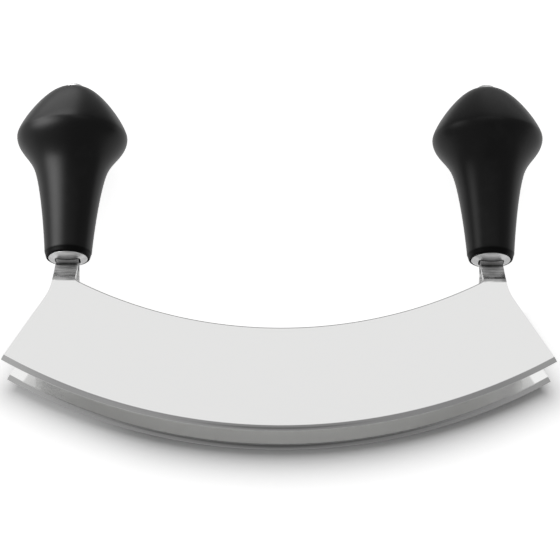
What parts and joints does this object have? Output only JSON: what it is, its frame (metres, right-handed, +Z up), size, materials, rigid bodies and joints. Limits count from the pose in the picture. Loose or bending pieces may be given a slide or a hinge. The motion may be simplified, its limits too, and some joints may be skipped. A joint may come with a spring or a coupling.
{
  "type": "double mezzaluna",
  "caption": "Rocking herb chopper lying on its back: parallel curved polished steel blades with bevelled edges, bent tangs, slotted ferrules and black pear-shaped knob grips.",
  "frame": {"origin": "middle of the footprint, on the table that the tool lies on", "axes": "+X along the blades, +Y from the cutting edges towards the grips, +Z up from the table. The tool lies on its back, tilted 4.3 degrees, on the rear blade and both grips."},
  "size_m": [0.21, 0.1484, 0.0435],
  "materials": {
    "blade_steel": "polished stainless sheet with a satin ground bevel",
    "grip_plastic": "satin moulded black plastic",
    "ferrule_steel": "turned and polished stainless",
    "cap_steel": "turned and polished stainless",
    "rod_steel": "plain drawn steel, hidden inside the grips"
  },
  "bodies": {
    "root": {"front_blade": "blade_steel", "rear_blade": "blade_steel", "left_grip": "grip_plastic", "left_ferrule": "ferrule_steel", "left_draw_rod": "rod_steel", "left_washer": "rod_steel", "left_cap_nut": "cap_steel", "left_lower_rivet": "rod_steel", "left_upper_rivet": "rod_steel", "right_grip": "grip_plastic", "right_ferrule": "ferrule_steel", "right_draw_rod": "rod_steel", "right_washer": "rod_steel", "right_cap_nut": "cap_steel", "right_lower_rivet": "rod_steel", "right_upper_rivet": "rod_steel"}
  },
  "joints": []
}
